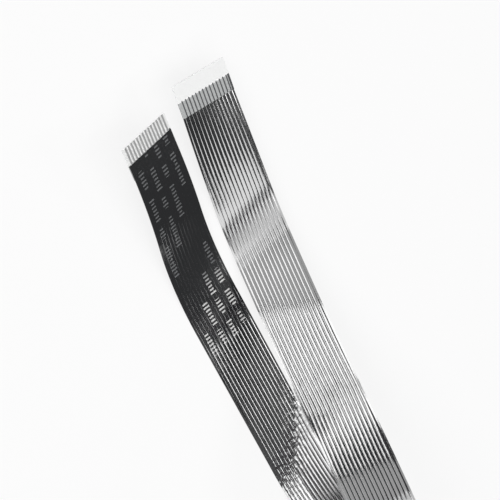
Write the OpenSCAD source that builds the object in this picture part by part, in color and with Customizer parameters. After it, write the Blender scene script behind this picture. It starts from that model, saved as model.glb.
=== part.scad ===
// Flat flexible cable of a document feeder: flat conductors side by side between two films,
// bared at both tips and backed there by a stiffening tape.
// It lies as it comes to rest: the lower leg flat on the surface with its tip curled up,
// a loop that stands up at one end, and the upper leg coming back beside the lower one.

/* [Conductors] */
// Number of flat conductors side by side
conductor_count = 14; // [4:1:30]
// Distance between the centres of neighbouring conductors
pitch = 1; // [0.8:0.05:1.25]
// Width of a conductor
conductor_w = 0.7; // [0.4:0.01:0.85]
// Thickness of a conductor
conductor_t = 0.1; // [0.05:0.01:0.15]

/* [Films] */
// Length of the cable from tip to tip
cable_length = 300; // [270:1:500]
// Distance from the centre of an outer conductor to the cable's edge
edge_margin = 1; // [0.6:0.05:2]
// Thickness of each film with its glue
film_t = 0.06; // [0.03:0.005:0.12]
// Flat width left between two ribs of a film
valley_w = 0.06; // [0.02:0.01:0.1]
// Length of bare conductor at each tip
bare_length = 4.5; // [3:0.1:7]

/* [Stiffeners] */
// Length of the stiffening tape at each tip
stiffener_length = 8.5; // [7.5:0.1:15]
// Thickness of the stiffening tape
stiffener_t = 0.2; // [0.1:0.01:0.3]

/* [Hidden] */
// Largest bend or twist between two neighbouring sections, in degrees
section_turn = 20;

// The way the cable lies, from the lower tip to the upper one, outside its stiffened tips.
// Each stretch is [length, bend, twist]. A positive bend turns towards the printed film.
curl = [
    [20, -8, 3.5],
    [25, 20.5, 7.5]
];
loop = [
    [15, 15.5, 3],
    [15, 29, 8.5],
    [20, 59, -2],
    [20, 62, -11],
    [20, 45, -8],
    [20, 18, 1.5],
    [20, -8, 3],
    [20, -14.5, -4.5],
    [20, -32, 10],
    [25, -1, 14]
];

width = (conductor_count - 1) * pitch + 2 * edge_margin;
// A film comes down on both sides of a conductor over this width
slope_w = (pitch - conductor_w - valley_w) / 2;
// From the cable's middle plane to the top of a rib
rib_h = conductor_t / 2 + film_t;
// What the curl, the loop and the tips leave of the length lies flat
flat_run = cable_length - 2 * stiffener_length - total_length(curl) - total_length(loop);

conductor_names = [for (i = [1:conductor_count]) str("conductor_", i < 10 ? "0" : "", i)];

film_color = "#1c1d20";
conductor_color = "#c4c8cc";
stiffener_color = "#f1f3f3";

function total_length(stretches) = [for (s = stretches) 1] * stretches * [1, 0, 0];
function reversed(list) = [for (i = [len(list) - 1:-1:0]) list[i]];
function turned(v, axis, angle) =
    v * cos(angle) + cross(axis, v) * sin(angle) + axis * (axis * v) * (1 - cos(angle));

// A station is [point, direction along the cable, direction across it].
// The third direction, away from the plain film, is the cross product of the other two.
function advanced(station, stretch) =
    let (
        along = station[1],
        across = station[2],
        spin = stretch[2] * along - stretch[1] * across,
        angle = norm(spin),
        axis = angle > 0 ? spin / angle : across,
        steady = axis * (axis * along),
        arc = angle > 0 ? stretch[0] / (angle * PI / 180) : 0,
        swing = sin(angle) * (along - steady) + (1 - cos(angle)) * cross(axis, along)
    )
    angle > 0
        ? [station[0] + stretch[0] * steady + arc * swing,
           turned(along, axis, angle),
           turned(across, axis, angle)]
        : [station[0] + stretch[0] * along, along, across];

function section_count(stretch) =
    max(1, ceil(max(abs(stretch[1]), abs(stretch[2])) / section_turn));
function divided(stretches) = [
    for (s = stretches)
        let (n = section_count(s))
        for (i = [1:n])
            s / n
];
function chain(start, steps) = [
    for (i = 0, s = start; i <= len(steps); s = i < len(steps) ? advanced(s, steps[i]) : s, i = i + 1)
        s
];

// The cable is laid out both ways from where the curl meets the flat run.
stiff_tip = [stiffener_length, 0, 0];
flat_start = [[0, 0, 0], [0, 1, 0], [-1, 0, 0]];
to_lower_tip = chain(flat_start, -reversed(divided(concat([stiff_tip], curl))));
to_upper_tip = chain(flat_start, divided(concat([[flat_run, 0, 0]], loop, [stiff_tip])));
laid_stations = concat(
    reversed(to_lower_tip),
    [for (i = [1:len(to_upper_tip) - 1]) to_upper_tip[i]]
);

function placed(station, point) =
    station[0] + point[0] * station[2] + point[1] * cross(station[1], station[2]);
function slid(station, distance) = [station[0] + distance * station[1], station[1], station[2]];
// The films stop short of both tips, within the straight stiffened length.
function film_stations(stations) = [
    for (i = [0:len(stations) - 1])
        slid(stations[i], i == 0 ? bare_length : i == len(stations) - 1 ? -bare_length : 0)
];

function conductor_x(i) = (i - (conductor_count + 1) / 2) * pitch;
// Inner face of a film from edge to edge: half of each conductor lies in its channel.
inner_line = concat(
    [[-width / 2, 0]],
    [for (i = [1:conductor_count])
        let (left = conductor_x(i) - conductor_w / 2, right = left + conductor_w)
        each [[left, 0], [left, conductor_t / 2], [right, conductor_t / 2], [right, 0]]],
    [[width / 2, 0]]
);
// Outer face of a film from edge to edge: each conductor raises a rib.
outer_line = concat(
    [[-width / 2, film_t]],
    [for (i = [1:conductor_count])
        let (left = conductor_x(i) - conductor_w / 2, right = left + conductor_w)
        each [[left - slope_w, film_t], [left, rib_h], [right, rib_h], [right + slope_w, film_t]]],
    [[width / 2, film_t]]
);
function flipped(section) = [for (q = reversed(section)) [q[0], -q[1]]];
printed_section = concat(inner_line, reversed(outer_line));
plain_section = flipped(printed_section);

// The origin is under the middle of the box that holds the cable.
stiffener_bottom = -conductor_t / 2 - stiffener_t;
outline = concat(
    [for (s = film_stations(laid_stations), q = concat(printed_section, plain_section)) placed(s, q)],
    [for (s = [laid_stations[0], laid_stations[len(laid_stations) - 1]],
          x = [-width / 2, width / 2],
          y = [stiffener_bottom, conductor_t / 2])
        placed(s, [x, y])]
);
low = [for (k = [0:2]) min([for (p = outline) p[k]])];
high = [for (k = [0:2]) max([for (p = outline) p[k]])];
origin = [(low[0] + high[0]) / 2, (low[1] + high[1]) / 2, low[2]];
stations = [for (s = laid_stations) [s[0] - origin, s[1], s[2]]];
lower_tip = stations[0];
upper_tip = stations[len(stations) - 1];

// A solid with one section all along the given stations.
// The two triangles of each face share the same diagonal on both sides of a joint between solids.
module swept(section, along) {
    size = len(section);
    last = (len(along) - 1) * size;
    points = [for (s = along, q = section) placed(s, q)];
    sides = [
        for (i = [0:len(along) - 2], j = [0:size - 1])
            let (
                k = (j + 1) % size,
                here = i * size,
                next = here + size,
                step = section[k] - section[j],
                rising = step[0] > 0 || (step[0] == 0 && step[1] > 0)
            )
            each rising
                ? [[here + j, next + j, next + k], [here + j, next + k, here + k]]
                : [[here + j, next + j, here + k], [here + k, next + j, next + k]]
    ];
    start = [for (j = [0:size - 1]) j];
    end = [for (j = [size - 1:-1:0]) last + j];
    polyhedron(points, concat([start, end], sides));
}

module printed_film() {
    color(film_color)
        swept(printed_section, film_stations(stations));
}

module plain_film() {
    color(film_color)
        swept(plain_section, film_stations(stations));
}

module conductor(i) {
    left = conductor_x(i) - conductor_w / 2;
    right = left + conductor_w;
    half = conductor_t / 2;
    color(conductor_color)
        swept([[left, -half], [right, -half], [right, half], [left, half]], stations);
}

// Tape under the bare conductors, then over the ribs of the plain film.
// It starts at the tip, and inward is 1 or -1 along the cable.
module stiffener(tip, inward) {
    away = cross(tip[1], tip[2]);
    covered_length = stiffener_length - bare_length;
    covered_section = concat(
        [[-width / 2, -rib_h - stiffener_t], [width / 2, -rib_h - stiffener_t]],
        flipped(outer_line)
    );
    multmatrix([for (k = [0:2]) [tip[2][k], away[k], tip[1][k], tip[0][k]]]) {
        translate([-width / 2, stiffener_bottom, inward > 0 ? 0 : -bare_length])
            cube([width, stiffener_t, bare_length]);
        translate([0, 0, inward > 0 ? bare_length : -stiffener_length])
            linear_extrude(height = covered_length)
                polygon(covered_section);
    }
}

module lower_stiffener() {
    color(stiffener_color)
        stiffener(lower_tip, 1);
}

module upper_stiffener() {
    color(stiffener_color)
        stiffener(upper_tip, -1);
}

printed_film();
plain_film();
for (i = [1:conductor_count])
    conductor(i);
lower_stiffener();
upper_stiffener();
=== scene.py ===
# %% [markdown]
# # A flat flexible cable, folded back on itself
# A flat cable of this kind is a lamination: flat wires side by side between two thin glossy films, bare
# at both tips, where a stiff white tape backs the contacts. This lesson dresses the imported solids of
# such a cable. Every piece is first modelled straight and flat, in millimetres, and then laid along one
# route.

# %% Load the frame
import math

import bmesh
import bpy
from mathutils import Matrix, Vector


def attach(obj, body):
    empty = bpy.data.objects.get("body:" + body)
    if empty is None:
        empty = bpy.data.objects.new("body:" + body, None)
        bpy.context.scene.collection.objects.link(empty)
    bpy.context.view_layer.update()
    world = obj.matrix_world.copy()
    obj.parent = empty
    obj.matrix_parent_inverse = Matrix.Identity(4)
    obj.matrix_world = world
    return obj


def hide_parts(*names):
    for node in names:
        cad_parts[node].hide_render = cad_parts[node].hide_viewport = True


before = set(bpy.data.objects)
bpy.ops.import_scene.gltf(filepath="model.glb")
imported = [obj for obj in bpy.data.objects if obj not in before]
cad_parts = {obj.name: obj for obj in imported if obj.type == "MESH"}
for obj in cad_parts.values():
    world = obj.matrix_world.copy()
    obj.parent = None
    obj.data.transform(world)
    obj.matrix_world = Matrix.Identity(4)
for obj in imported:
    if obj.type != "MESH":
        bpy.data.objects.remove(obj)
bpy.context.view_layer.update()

print("CAD nodes:", len(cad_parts))

# %% [markdown]
# ## Sizes
# The sizes are those of the solids: a pitch of one millimetre, with half of each wire in either film.
# Blender works in metres, so the straight strips are modelled in millimetres and scaled down when they
# are laid on the route.

# %% Sizes of the cable, in millimetres
MM = 0.001
conductor_count = 14
pitch = 1.0
conductor_w = 0.7
conductor_t = 0.1
cable_length = 300.0
edge_margin = 1.0
film_t = 0.06
bare_length = 4.5
stiffener_length = 8.5
stiffener_t = 0.2
width = (conductor_count - 1) * pitch + 2 * edge_margin
rib_h = conductor_t / 2 + film_t
print("cable:", width, "mm wide,", cable_length, "mm long")

# %% [markdown]
# ## The camera
# The camera comes first, because everything else is judged through it. It looks down on the two tips
# from a distance of half a metre with a long lens, and it is rolled, so that the cable runs from the
# upper left of the picture to the lower right. Rolling is the last turn of the camera's matrix, about
# its own line of sight.

# %% Camera
camera_aim = Vector((-5.13, -20.41, 5.0))
camera_distance = 486.3
camera_azimuth = math.radians(45.56)
camera_elevation = math.radians(57.64)
camera_roll = math.radians(101.55)
lens_length = 146.5

camera = bpy.data.objects.new("camera", bpy.data.cameras.new("camera"))
bpy.context.scene.collection.objects.link(camera)
camera.data.lens = lens_length
camera.matrix_world = (
    Matrix.Translation(camera_aim * MM)
    @ Matrix.Rotation(camera_azimuth, 4, "Z")
    @ Matrix.Rotation(math.pi / 2 - camera_elevation, 4, "X")
    @ Matrix.Translation((0, 0, camera_distance * MM))
    @ Matrix.Rotation(camera_roll, 4, "Z")
)
bpy.context.scene.camera = camera
print("camera at", [round(value, 3) for value in camera.matrix_world.translation])

# %% [markdown]
# ## The route
# A strip of film can bend about its width and twist about its length, but it can't stretch. So the
# route is a list of stretches, each with a length, a bend and a twist, and over one stretch the strip
# moves as on a screw thread. That is one matrix, and a chain of such matrices is the whole route. On
# the flat run the strip's own axes are the world's: X across it, Y along it, and Z away from the table,
# on the printed side.

# %% Stretches of the route: length in millimetres, bend and twist in degrees
stiff_tip = (stiffener_length, 0, 0)
curl = [(20, -8, 3.5), (25, 20.5, 7.5)]
loop = [
    (15, 15.5, 3),
    (15, 29, 8.5),
    (20, 59, -2),
    (20, 62, -11),
    (20, 45, -8),
    (20, 18, 1.5),
    (20, -8, 3),
    (20, -14.5, -4.5),
    (20, -32, 10),
    (25, -1, 14),
]
# Where the curl meets the flat run
flat_start = Vector((8.032, -10.888, rib_h))


def screw(length, bend, twist):
    """Motion of the strip over one stretch, in its own axes."""
    spin = Vector((math.radians(bend), math.radians(twist), 0))
    along = Vector((0, length, 0))
    angle = spin.length
    if angle == 0:
        return Matrix.Translation(along)
    axis = spin.normalized()
    steady = axis * axis.dot(along)
    swing = (along - steady) * math.sin(angle) + axis.cross(along) * (1 - math.cos(angle))
    return Matrix.Translation(steady + swing / angle) @ Matrix.Rotation(angle, 4, axis)


lower_stretches = [stiff_tip] + curl
bent_length = sum(stretch[0] for stretch in lower_stretches + loop)
flat_run = cable_length - stiffener_length - bent_length
stretches = lower_stretches + [(flat_run, 0, 0)] + loop + [stiff_tip]

to_flat_start = Matrix.Identity(4)
for stretch in lower_stretches:
    to_flat_start = to_flat_start @ screw(*stretch)
starts = [Matrix.Translation(flat_start) @ to_flat_start.inverted()]
for stretch in stretches:
    starts.append(starts[-1] @ screw(*stretch))
print("flat run:", flat_run, "mm, upper tip at", [round(value, 2) for value in starts[-1].translation])

# %% [markdown]
# To lay a straight piece on the route, each vertex is carried by the matrix at its own distance along
# the strip. Its straight coordinates are kept in an attribute called strip, in millimetres, so that
# print and grain can follow the cable round its bends.

# %% Laying a straight piece on the route
row_step = 1.5


def place_at(distance):
    """Matrix of the strip's axes at this distance from the lower tip."""
    index = 0
    while index < len(stretches) - 1 and distance > stretches[index][0]:
        distance -= stretches[index][0]
        index += 1
    share = distance / stretches[index][0]
    return starts[index] @ screw(*(value * share for value in stretches[index]))


def lay_on_route(bm):
    """Move a straight piece, in millimetres, to its place on the route, in metres."""
    strip = bm.verts.layers.float_vector.new("strip")
    places = {}
    for vert in bm.verts:
        vert[strip] = vert.co
        distance = round(vert.co.y, 3)
        if distance not in places:
            places[distance] = place_at(distance)
        vert.co = places[distance] @ Vector((vert.co.x, 0, vert.co.z)) * MM


film_length = cable_length - 2 * bare_length
film_rows = round(film_length / row_step)
centre_line = [
    place_at(bare_length + film_length * row / film_rows).translation * MM
    for row in range(film_rows + 1)
]
print("centre line points:", len(centre_line))

# %% [markdown]
# A finished bmesh becomes an object at the origin. Its faces are shaded smooth, with hard edges only
# where two faces meet at a steep angle, as at the cut edge of a film. The object then rides on the
# part's one body and stands in for its solid.

# %% From a bmesh to a piece of the cable
hard_edge = math.radians(40)


def finish_piece(bm, name, node, material):
    """Lay the straight bmesh on the route and make it the piece that stands for the CAD node."""
    bmesh.ops.recalc_face_normals(bm, faces=bm.faces)
    for face in bm.faces:
        face.smooth = True
    for edge in bm.edges:
        edge.smooth = edge.calc_face_angle(0) < hard_edge
    lay_on_route(bm)
    mesh = bpy.data.meshes.new(name)
    bm.to_mesh(mesh)
    bm.free()
    mesh.materials.append(material)
    piece = bpy.data.objects.new(name, mesh)
    bpy.context.scene.collection.objects.link(piece)
    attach(piece, "root")
    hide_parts(node)
    print(name, "faces:", len(mesh.polygons))
    return piece


# %% [markdown]
# ## Helpers for nodes
# A finish that changes over a surface is made of nodes. They could be wired by hand in the shader
# editor, but a script says more clearly what each one does. The first helper adds a node and sets or
# links its inputs. The other two return the node's output, so that a finish reads like a short sum.

# %% Adding nodes


def add_node(tree, kind, inputs=None, **settings):
    """Add a node, set its properties, and set or link its inputs by name or number."""
    node = tree.nodes.new(kind)
    for name, value in settings.items():
        setattr(node, name, value)
    for name, value in (inputs or {}).items():
        if isinstance(value, bpy.types.NodeSocket):
            tree.links.new(value, node.inputs[name])
        else:
            node.inputs[name].default_value = value
    return node


def math_node(tree, operation, *values):
    """Add a Math node on values or sockets and return its output."""
    inputs = dict(enumerate(values))
    return add_node(tree, "ShaderNodeMath", inputs, operation=operation).outputs[0]


def map_range(tree, value, source, target, **settings):
    """Map a value from one range to another, clamped to its ends."""
    inputs = {
        "Value": value,
        "From Min": source[0],
        "From Max": source[1],
        "To Min": target[0],
        "To Max": target[1],
    }
    return add_node(tree, "ShaderNodeMapRange", inputs, **settings).outputs[0]


# %% [markdown]
# ## Film surface
# Laminated film is glossy but never quite flat: the rollers leave a slight waviness, longer along the
# cable than across it, and a fine orange peel. To model them would take a far finer mesh, so they are
# bump. Both films need this, so it is a node group. It puts out a height for a Bump node, counted in
# wave depths, and a roughness that changes over the surface.

# %% Node group: film surface, waves and peel
wave_depth = 0.00002
wave_share = (0.7, 0.22, 0.7)
peel_scale = 1.6
peel_height = 0.25
film_roughness = (0.09, 0.15)
noise_middle = (0.3, 0.7)


def new_group(name, inputs, outputs):
    """A shader node group with its own input and output nodes."""
    group = bpy.data.node_groups.new(name, "ShaderNodeTree")
    for socket_name, socket_type in inputs:
        group.interface.new_socket(socket_name, in_out="INPUT", socket_type=socket_type)
    for socket_name, socket_type in outputs:
        group.interface.new_socket(socket_name, in_out="OUTPUT", socket_type=socket_type)
    return group, group.nodes.new("NodeGroupInput"), group.nodes.new("NodeGroupOutput")


def noise(tree, vector, scale, detail):
    """Smooth noise over a vector. Most of its values lie within noise_middle."""
    inputs = {"Vector": vector, "Scale": scale, "Detail": detail}
    return add_node(tree, "ShaderNodeTexNoise", inputs).outputs[0]


def stretched(tree, vector, shares):
    """A vector with each coordinate multiplied by its share."""
    return add_node(tree, "ShaderNodeVectorMath", {0: vector, 1: shares}, operation="MULTIPLY").outputs[0]


film_group, group_in, group_out = new_group(
    "film_surface",
    [("Strip", "NodeSocketVector")],
    [("Height", "NodeSocketFloat"), ("Roughness", "NodeSocketFloat")],
)
strip = group_in.outputs["Strip"]
waves = noise(film_group, stretched(film_group, strip, wave_share), scale=1.0, detail=1.0)
peel = noise(film_group, strip, scale=peel_scale, detail=2.0)
height = math_node(film_group, "MULTIPLY_ADD", peel, peel_height, waves)
rough = map_range(film_group, peel, noise_middle, film_roughness)
film_group.links.new(rough, group_out.inputs["Roughness"])
print("group:", film_group.name, "nodes:", len(film_group.nodes))

# %% [markdown]
# The route has the cable's bends in broad stretches, and gloss shows more than that. The curl of the
# lower leg runs out slowly. Further on the film lifts along a slanting line, before it bends up into
# the loop. Where the upper leg leaves the loop it is twisted a little more than the route. Each of
# these adds a gentle slope to the height. The difference of two smooth maxima is a slope with soft
# ends.

# %% Film surface: slopes
curl_out = (47.0, 61.0)
curl_slope = -0.09
lift_line = 97.5
lift_slant = 1.7
lift_end = 101.0
lift_slope = 0.11
lift_fade = (108.0, 140.0)
slope_blend = 4.0
twist_middle = 184.0
twist_half_length = (11.0, 29.0)
twist_slope = 0.15
depths_per_mm = MM / wave_depth


def across_and_along(tree, strip):
    """The strip's coordinates across it and along it."""
    coordinates = add_node(tree, "ShaderNodeSeparateXYZ", {0: strip}).outputs
    return coordinates["X"], coordinates["Y"]


def rise_between(start, end):
    """Height that grows from one distance along the strip to another, in millimetres."""
    past_start = math_node(film_group, "SUBTRACT", along, start)
    past_end = math_node(film_group, "SUBTRACT", along, end)
    rise = math_node(film_group, "SMOOTH_MAX", past_start, 0.0, slope_blend)
    rise_after = math_node(film_group, "SMOOTH_MAX", past_end, 0.0, slope_blend)
    return math_node(film_group, "SUBTRACT", rise, rise_after)


across, along = across_and_along(film_group, strip)
line = math_node(film_group, "MULTIPLY_ADD", across, lift_slant, lift_line)
line = math_node(film_group, "MINIMUM", line, lift_end)
lift_share = map_range(film_group, along, lift_fade, (1.0, 0.0), interpolation_type="SMOOTHSTEP")
lift = math_node(film_group, "MULTIPLY", rise_between(line, lift_end), lift_share)
height = math_node(film_group, "MULTIPLY_ADD", lift, lift_slope * depths_per_mm, height)
height = math_node(film_group, "MULTIPLY_ADD", rise_between(*curl_out), curl_slope * depths_per_mm, height)
from_twist = math_node(film_group, "ABSOLUTE", math_node(film_group, "SUBTRACT", along, twist_middle))
twist_range = (twist_slope * depths_per_mm, 0.0)
twist = map_range(film_group, from_twist, twist_half_length, twist_range, interpolation_type="SMOOTHSTEP")
height = math_node(film_group, "MULTIPLY_ADD", across, twist, height)
print("group:", film_group.name, "nodes:", len(film_group.nodes))

# %% [markdown]
# Film that was folded once keeps small crinkles. They lie along the line where the lower leg lifts, and
# fade out on both sides of it.

# %% Film surface: crinkles
crinkle_half_length = (4.0, 10.0)
crinkle_scale = 0.7
crinkle_height = 4.5

from_line = math_node(film_group, "ABSOLUTE", math_node(film_group, "SUBTRACT", along, line))
crinkle_share = map_range(film_group, from_line, crinkle_half_length, (crinkle_height, 0.0))
crinkles = noise(film_group, strip, scale=crinkle_scale, detail=1.0)
height = math_node(film_group, "MULTIPLY_ADD", crinkles, crinkle_share, height)
film_group.links.new(height, group_out.inputs["Height"])
print("group:", film_group.name, "nodes:", len(film_group.nodes))

# %% [markdown]
# ## Print marks
# The printed film carries four rows of small pale print along its length, each row a little further
# along than the one before. They are plain upright bars, set in groups. The width is cut into rows and
# the length into cells with one bar each, a random number sets the bar's height, and a ramp with hard
# steps leaves the gaps between the groups.

# %% Node group: print marks
row_pitch = 3.45
first_row = -5.0
row_shift = 6.75
line_start = -14.0
bar_pitch = 0.95
bar_share = 0.42
bar_height = (0.9, 1.8)
full_range = (0.0, 1.0)

print_group, group_in, group_out = new_group(
    "print_marks",
    [("Strip", "NodeSocketVector")],
    [("Mask", "NodeSocketFloat")],
)
across, along = across_and_along(print_group, group_in.outputs["Strip"])
from_first = math_node(print_group, "SUBTRACT", across, first_row - row_pitch / 2)
rows_across = math_node(print_group, "DIVIDE", from_first, row_pitch)
row = math_node(print_group, "FLOOR", rows_across)
from_row = math_node(print_group, "SUBTRACT", math_node(print_group, "FRACT", rows_across), 0.5)
in_line = math_node(print_group, "SUBTRACT", along, line_start)
in_line = math_node(print_group, "MULTIPLY_ADD", row, -row_shift, in_line)
bars_along = math_node(print_group, "DIVIDE", in_line, bar_pitch)
in_bar = math_node(print_group, "LESS_THAN", math_node(print_group, "FRACT", bars_along), bar_share)
bar_number = math_node(print_group, "FLOOR", bars_along)
cell = add_node(print_group, "ShaderNodeCombineXYZ", {"X": bar_number, "Y": row}).outputs[0]
chance = add_node(print_group, "ShaderNodeTexWhiteNoise", {"Vector": cell}).outputs["Value"]
half_shares = [tall / 2 / row_pitch for tall in bar_height]
half_bar = map_range(print_group, chance, full_range, half_shares)
in_height = math_node(print_group, "LESS_THAN", math_node(print_group, "ABSOLUTE", from_row), half_bar)
bars = math_node(print_group, "MULTIPLY", in_bar, in_height)
print("group:", print_group.name, "nodes:", len(print_group.nodes))

# %% Print marks: groups of bars
line_period = 76.0
bar_groups = [
    (1, 6),
    (9.5, 16),
    (17.5, 20.8),
    (23.2, 33.2),
    (50, 56.5),
    (58, 62.4),
    (64, 69),
    (70.5, 74),
]
inked = (1, 1, 1, 1)
bare = (0, 0, 0, 1)


def colour_ramp(tree, factor, first_colour, stops, interpolation="LINEAR"):
    """A ramp with a first colour at 0 and further stops, given as pairs of place and colour."""
    node = add_node(tree, "ShaderNodeValToRGB", {"Fac": factor})
    node.color_ramp.interpolation = interpolation
    elements = node.color_ramp.elements
    elements.remove(elements[1])
    elements[0].color = first_colour
    for place, colour in stops:
        elements.new(place).color = colour
    return node.outputs[0]


group_stops = []
for group_start, group_end in bar_groups:
    group_stops += [(group_start / line_period, inked), (group_end / line_period, bare)]
in_period = math_node(print_group, "FRACT", math_node(print_group, "DIVIDE", in_line, line_period))
in_group = colour_ramp(print_group, in_period, bare, group_stops, "CONSTANT")
marks = math_node(print_group, "MULTIPLY", bars, in_group)
print_group.links.new(marks, group_out.inputs["Mask"])
print("groups of bars:", len(bar_groups), "in", line_period, "mm")

# %% [markdown]
# ## Materials
# A material here is one Principled shader. What is the same all over a piece is set on the shader's own
# sockets. What changes over the piece comes from nodes, which start from the strip attribute.

# %% Starting a material


def new_material(name, **values):
    """A node material, its tree and its Principled shader, with constant values on the shader."""
    material = bpy.data.materials.new(name)
    material.use_nodes = True
    tree = material.node_tree
    shader = tree.nodes["Principled BSDF"]
    for socket_name, value in values.items():
        shader.inputs[socket_name.replace("_", " ")].default_value = value
    return material, tree, shader


def strip_coordinates(tree):
    """The straight coordinates of the strip, in millimetres."""
    return add_node(tree, "ShaderNodeAttribute", attribute_name="strip").outputs["Vector"]


# %% [markdown]
# ## Black film
# Black polyester film scatters hardly any light, so its look is all gloss: the bright lines are those
# parts of the ribs that are turned towards a lamp. A high index of refraction over a black base gives
# that gloss. The printed film is the same material with a pale ink mixed in by the print marks. A ramp
# along the cable sets the ink's colour: on one stretch the marks are painted pale, a painted highlight
# of glare on the print, and on the others the ink is thin or faint.

# %% Film materials
film_ior = 3.0
black = (0.009, 0.010, 0.011, 1)
thin_ink = (0.17, 0.175, 0.18, 1)
# Painted highlight: the pale grey that the print marks get where glare is painted on them
glare_painted_ink = (0.78, 0.78, 0.77, 1)
faint_ink = (0.05, 0.051, 0.052, 1)
# Distances along the cable, in millimetres. From 48 to 60 mm the marks carry a painted highlight of glare.
ink_and_glare_places = [
    (43, thin_ink),
    (48, glare_painted_ink),
    (60, glare_painted_ink),
    (63, faint_ink),
    (100, faint_ink),
    (120, thin_ink),
]


def mix_colours(tree, factor, first, second):
    """Mix two colours, each a value or a socket. The node's colours are its inputs 6 and 7."""
    inputs = {"Factor": factor, 6: first, 7: second}
    return add_node(tree, "ShaderNodeMix", inputs, data_type="RGBA").outputs[2]


def film_material(name, printed):
    """Glossy black film, with print marks on the printed one, and a painted glare highlight on part of the
    print.
    """
    material, tree, shader = new_material(name, IOR=film_ior, Base_Color=black)
    strip = strip_coordinates(tree)
    surface = add_node(tree, "ShaderNodeGroup", node_tree=film_group)
    tree.links.new(strip, surface.inputs["Strip"])
    bump = add_node(tree, "ShaderNodeBump", {"Height": surface.outputs["Height"], "Distance": wave_depth})
    tree.links.new(bump.outputs[0], shader.inputs["Normal"])
    tree.links.new(surface.outputs["Roughness"], shader.inputs["Roughness"])
    if printed:
        marks = add_node(tree, "ShaderNodeGroup", node_tree=print_group)
        tree.links.new(strip, marks.inputs["Strip"])
        _, along = across_and_along(tree, strip)
        cable_share = math_node(tree, "DIVIDE", along, cable_length)
        # The ramp paints the glare highlight on the print: pale marks on one stretch
        ink_and_glare_stops = [(place / cable_length, colour) for place, colour in ink_and_glare_places]
        ink_with_glare = colour_ramp(tree, cable_share, thin_ink, ink_and_glare_stops)
        print_and_glare_colour = mix_colours(tree, marks.outputs["Mask"], black, ink_with_glare)
        tree.links.new(print_and_glare_colour, shader.inputs["Base Color"])
    return material


printed_black = film_material("printed_black_film", True)
plain_black = film_material("plain_black_film", False)
print("film materials:", printed_black.name, plain_black.name)

# %% [markdown]
# ## The two films
# A film starts as a flat grid. Each vertex is lifted over the nearest wire, to a crowned rib that is
# nearly flat on top and falls off steeply into the grooves, and the sheet is then extruded towards the
# wires to its thickness. Its inner face follows the outer one, which leaves a channel for each wire.
# The grid is fine across the strip, where the ribs are, and coarse along it.

# %% Films
columns_per_pitch = 12
rib_power = 3


def conductor_x(index):
    """Distance of a wire's centre from the centre line, the first wire on the +X side."""
    return ((conductor_count - 1) / 2 - index) * pitch


def rib_height(x):
    """Height of a film's outer face over the cable's middle plane."""
    nearest = min(max(round((conductor_count - 1) / 2 - x / pitch), 0), conductor_count - 1)
    share = min(abs(x - conductor_x(nearest)) / (pitch / 2), 1)
    return film_t + conductor_t / 2 * (1 - share**rib_power)


def flat_sheet(start, length, step):
    """Flat grid as wide as the cable, from a distance along the strip on."""
    bm = bmesh.new()
    columns = round(width / pitch * columns_per_pitch)
    bmesh.ops.create_grid(bm, x_segments=columns, y_segments=round(length / step), size=0.5)
    bmesh.ops.scale(bm, vec=(width, length, 1), verts=bm.verts)
    bmesh.ops.translate(bm, vec=(0, start + length / 2, 0), verts=bm.verts)
    return bm


def thicken(bm, offset):
    """Extrude the whole sheet, and move the new face by the offset along Z."""
    extruded = bmesh.ops.extrude_face_region(bm, geom=bm.faces[:])
    moved = [part for part in extruded["geom"] if isinstance(part, bmesh.types.BMVert)]
    bmesh.ops.translate(bm, vec=(0, 0, offset), verts=moved)


def film(name, node, side, material):
    """One film: side is 1 for the printed face and -1 for the plain one."""
    bm = flat_sheet(bare_length, film_length, film_length / film_rows)
    for vert in bm.verts:
        vert.co.z = side * rib_height(vert.co.x)
    thicken(bm, -side * film_t)
    return finish_piece(bm, name, node, material)


printed_film = film("printed_black_film", "printed_film", 1, printed_black)
plain_film = film("plain_black_film", "plain_film", -1, plain_black)

# %% [markdown]
# ## Tinned wires
# The wires are flat strips of copper, rolled and tinned, and rolling leaves fine lines along them. The
# flat middle of each wire is painted darker than its edges, a painted reflection of the dark that the
# flat top mirrors, with a painted glint on the edges. The distance from the wire's middle sets the grey,
# and the noise that makes the lines is stretched along the strip.

# %% Wire material
wire_metallic = 0.75
rolled_share = (14.0, 0.35, 14.0)
rolled_shade = (0.88, 1.0)
wire_roughness = (0.62, 0.50)
shaded_middle_half_width = (0.13, 0.29)
shaded_to_glinting_tin = (0.5, 0.92)

tinned, tree, shader = new_material("tinned_wire", Metallic=wire_metallic)
strip = strip_coordinates(tree)
rolled = noise(tree, stretched(tree, strip, rolled_share), scale=1.0, detail=3.0)
across, _ = across_and_along(tree, strip)
# Painted reflection: grey across the flat middle of each wire, a bright glint at its edges
from_middle = math_node(tree, "PINGPONG", math_node(tree, "ADD", across, pitch / 2), pitch / 2)
tin_painted_reflection = map_range(tree, from_middle, shaded_middle_half_width, shaded_to_glinting_tin)
shade = map_range(tree, rolled, noise_middle, rolled_shade)
tree.links.new(math_node(tree, "MULTIPLY", tin_painted_reflection, shade), shader.inputs["Base Color"])
rough = map_range(tree, rolled, noise_middle, wire_roughness)
tree.links.new(rough, shader.inputs["Roughness"])
print("wire material:", tinned.name)

# %% [markdown]
# A wire is a long box with its long edges rounded by a bevel. Only then is it cut across at regular
# steps, so that the bevel works on a few edges and the cuts still let the wire bend.

# %% Wires
edge_round = 0.03


def long_edges(bm):
    """Edges that run along the strip."""
    return [edge for edge in bm.edges if abs(edge.verts[0].co.y - edge.verts[1].co.y) > cable_length / 2]


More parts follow.
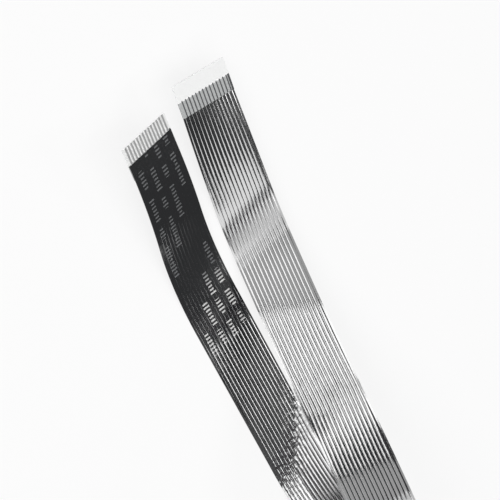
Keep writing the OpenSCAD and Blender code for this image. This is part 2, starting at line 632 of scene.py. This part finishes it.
def wire(index):
    """One tinned wire from tip to tip."""
    bm = bmesh.new()
    bmesh.ops.create_cube(bm, size=1)
    bmesh.ops.scale(bm, vec=(conductor_w, cable_length, conductor_t), verts=bm.verts)
    bmesh.ops.translate(bm, vec=(conductor_x(index), cable_length / 2, 0), verts=bm.verts)
    bmesh.ops.bevel(
        bm,
        geom=long_edges(bm),
        offset=edge_round,
        affect="EDGES",
        segments=2,
        profile=0.5,
        material=-1,
    )
    bmesh.ops.subdivide_edges(bm, edges=long_edges(bm), cuts=round(cable_length / row_step) - 1)
    number = f"{index + 1:02d}"
    return finish_piece(bm, f"tinned_wire_{number}", f"conductor_{number}", tinned)


wires = [wire(index) for index in range(conductor_count)]

# %% [markdown]
# ## Stiffening tapes
# At each tip a strip of milky polyester tape backs the contacts and runs on over the end of the plain
# film. Over the film the black shows through it as a pale grey. Dark lines at the pitch of the wires,
# shifted onto one flank of each rib, and a dark band along one edge are painted shade of the ribbed
# surface. So one material has two zones along the strip, with the painted shade lines in the second
# zone. The film's end shows a little further out under each line, which makes the border slightly toothed.

# %% Tape material
tape_ior = 1.5
tape_roughness = (0.3, 0.5)
haze_scale = 0.8
tape_white = (0.92, 0.924, 0.918, 1)
tape_over_film = (0.45, 0.46, 0.46, 1)
# Painted shade: the dark of the lines on one rib flank and of the band along one edge
tape_flank_shade = (0.06, 0.062, 0.065, 1)
shade_line_shift = 0.12
shade_line_half_width = (0.09, 0.24)
tooth_length = 0.25
shaded_edge_width = 0.55
shaded_edge = -width / 2 + shaded_edge_width
ribs_end = width / 2 - edge_margin / 2

milky, tree, shader = new_material("milky_tape", IOR=tape_ior)
strip = strip_coordinates(tree)
across, along = across_and_along(tree, strip)
# Painted shade of the ribs: lines shifted onto one flank of each rib, and a band along one edge
from_line = math_node(tree, "PINGPONG", math_node(tree, "ADD", across, pitch / 2 + shade_line_shift), pitch / 2)
flank_shade_mask = map_range(tree, from_line, shade_line_half_width, (1.0, 0.0))
flank_shade_mask = math_node(tree, "MULTIPLY", flank_shade_mask, math_node(tree, "LESS_THAN", across, ribs_end))
flank_shade_mask = math_node(tree, "MAXIMUM", flank_shade_mask, math_node(tree, "LESS_THAN", across, shaded_edge))
from_middle = math_node(tree, "ABSOLUTE", math_node(tree, "SUBTRACT", along, cable_length / 2))
film_end = math_node(tree, "MULTIPLY_ADD", flank_shade_mask, tooth_length, cable_length / 2 - bare_length)
over_film = math_node(tree, "LESS_THAN", from_middle, film_end)
film_and_painted_shade = mix_colours(tree, flank_shade_mask, tape_over_film, tape_flank_shade)
tree.links.new(mix_colours(tree, over_film, tape_white, film_and_painted_shade), shader.inputs["Base Color"])
haze = noise(tree, strip, scale=haze_scale, detail=3.0)
rough = map_range(tree, haze, full_range, tape_roughness)
tree.links.new(rough, shader.inputs["Roughness"])
print("tape material:", milky.name)

# %% [markdown]
# The tape's sheet lies close to the bare wires at the tip, and steps out over the end of the film. It
# follows the film's ribs a little, and is then thickened towards the cable.

# %% Tapes
tape_step = 0.25
step_length = 0.5
print_through = 0.012


def tape(name, node, tip):
    """Stiffening tape at a tip, which is 0 or the cable's length along the strip."""
    bm = flat_sheet(min(tip, cable_length - stiffener_length), stiffener_length, tape_step)
    for vert in bm.verts:
        from_edge = abs(vert.co.y - tip) - bare_length + step_length / 2
        rise = min(max(from_edge / step_length, 0), 1)
        ribs = (rib_height(vert.co.x) - rib_h) / (conductor_t / 2) * print_through
        vert.co.z = -conductor_t / 2 - stiffener_t - rise * (film_t + ribs)
    thicken(bm, stiffener_t)
    return finish_piece(bm, name, node, milky)


lower_tape = tape("lower_milky_tape", "lower_stiffener", 0)
upper_tape = tape("upper_milky_tape", "upper_stiffener", cable_length)

# %% [markdown]
# ## The cable
# The plain film stands for the cable. Its name and the cable's length are printed.

print("declared:", plain_film.name, "length:", cable_length, "mm")

# %% [markdown]
# ## Floor
# The floor is plain white. To the camera and in reflections it mostly glows in an even white, and a
# share of the matt surface is left, so that the cable still throws a faint shadow. For the light that
# bounces round the scene it is a pale matt surface and nothing else.

# %% Floor
floor_size = 6.0
floor_gap = 0.00005
floor_glow = 0.8
floor_roughness = 0.9
pale_grey = (0.85, 0.85, 0.85, 1)
white = (1, 1, 1, 1)

bm = bmesh.new()
bmesh.ops.create_grid(bm, x_segments=1, y_segments=1, size=floor_size / 2)
bmesh.ops.translate(bm, vec=(0, 0, -floor_gap), verts=bm.verts)
floor_mesh = bpy.data.meshes.new("floor")
bm.to_mesh(floor_mesh)
bm.free()
floor = bpy.data.objects.new("floor", floor_mesh)
bpy.context.scene.collection.objects.link(floor)
floor_white, tree, shader = new_material("floor_white", Roughness=floor_roughness, Base_Color=pale_grey)
rays = add_node(tree, "ShaderNodeLightPath").outputs
seen = math_node(tree, "MAXIMUM", rays["Is Camera Ray"], rays["Is Glossy Ray"])
glow_share = math_node(tree, "MULTIPLY", seen, floor_glow)
glow = add_node(tree, "ShaderNodeEmission", {"Color": white, "Strength": 1.0})
mixed = add_node(tree, "ShaderNodeMixShader", {0: glow_share, 1: shader.outputs[0], 2: glow.outputs[0]})
tree.links.new(mixed.outputs[0], tree.nodes["Material Output"].inputs["Surface"])
floor_mesh.materials.append(floor_white)
print("floor:", floor_size, "m")

# %% [markdown]
# ## Light
# Gloss shows what is around it, so the lamps are placed by what the cable mirrors. The tops of the ribs
# mirror one part of the room and their flanks another, and both change along the bends. Eight soft
# boxes stand where the two legs, on their way round, show them as broad glare or as thin bright lines,
# dark gaps between them keep the lines crisp, and a weak fill lifts the black a little. Each box is
# given by the directions that it fills, in degrees, and by its radiance, which is the brightness of its
# face. Together they light a white sheet to about white.

# %% Soft boxes and world
lamp_distance = 2.0
room_grey = (0.07, 0.07, 0.072, 1)


def soft_box(name, azimuth, elevation, spread, roll, radiance):
    """Rectangular lamp that faces the cable. Azimuth 0 is on the +Y side and 90 on the +X side."""
    turn = math.radians(azimuth)
    rise = math.radians(elevation)
    direction = Vector((math.sin(turn) * math.cos(rise), math.cos(turn) * math.cos(rise), math.sin(rise)))
    lamp = bpy.data.lights.new(name, "AREA")
    lamp.shape = "RECTANGLE"
    lamp.size, lamp.size_y = (2 * lamp_distance * math.tan(math.radians(angle) / 2) for angle in spread)
    lamp.energy = radiance * math.pi * lamp.size * lamp.size_y
    box = bpy.data.objects.new(name, lamp)
    box.matrix_world = (
        Matrix.Translation(camera_aim * MM + direction * lamp_distance)
        @ direction.to_track_quat("Z", "Y").to_matrix().to_4x4()
        @ Matrix.Rotation(math.radians(roll), 4, "Z")
    )
    bpy.context.scene.collection.objects.link(box)
    print(name, "power:", round(lamp.energy, 2), "W")


soft_box("rear_fill", -42, 58, (18, 22), 0, 0.12)
soft_box("left_soft_box", -58, 38, (9, 16), 30, 6.6)
soft_box("high_left_soft_box", -60, 71, (24, 16), 0, 3.5)
soft_box("back_soft_box", 33.5, 57, (39, 17), 9, 2.7)
soft_box("top_soft_box", 48, 84, (38, 20), 7, 1.9)
soft_box("right_soft_box", 88, 64, (28, 18), 0, 1.2)
soft_box("high_front_soft_box", 149, 58, (31, 42), 44, 1.1)
soft_box("side_soft_box", 139, 37, (68, 18), 40, 3.4)
soft_box("low_front_soft_box", 183, 33, (13, 34), -29, 4.1)

world = bpy.data.worlds.new("studio")
bpy.context.scene.world = world
world.use_nodes = True
world.node_tree.nodes["Background"].inputs["Color"].default_value = room_grey
bpy.context.scene.view_settings.view_transform = "Standard"
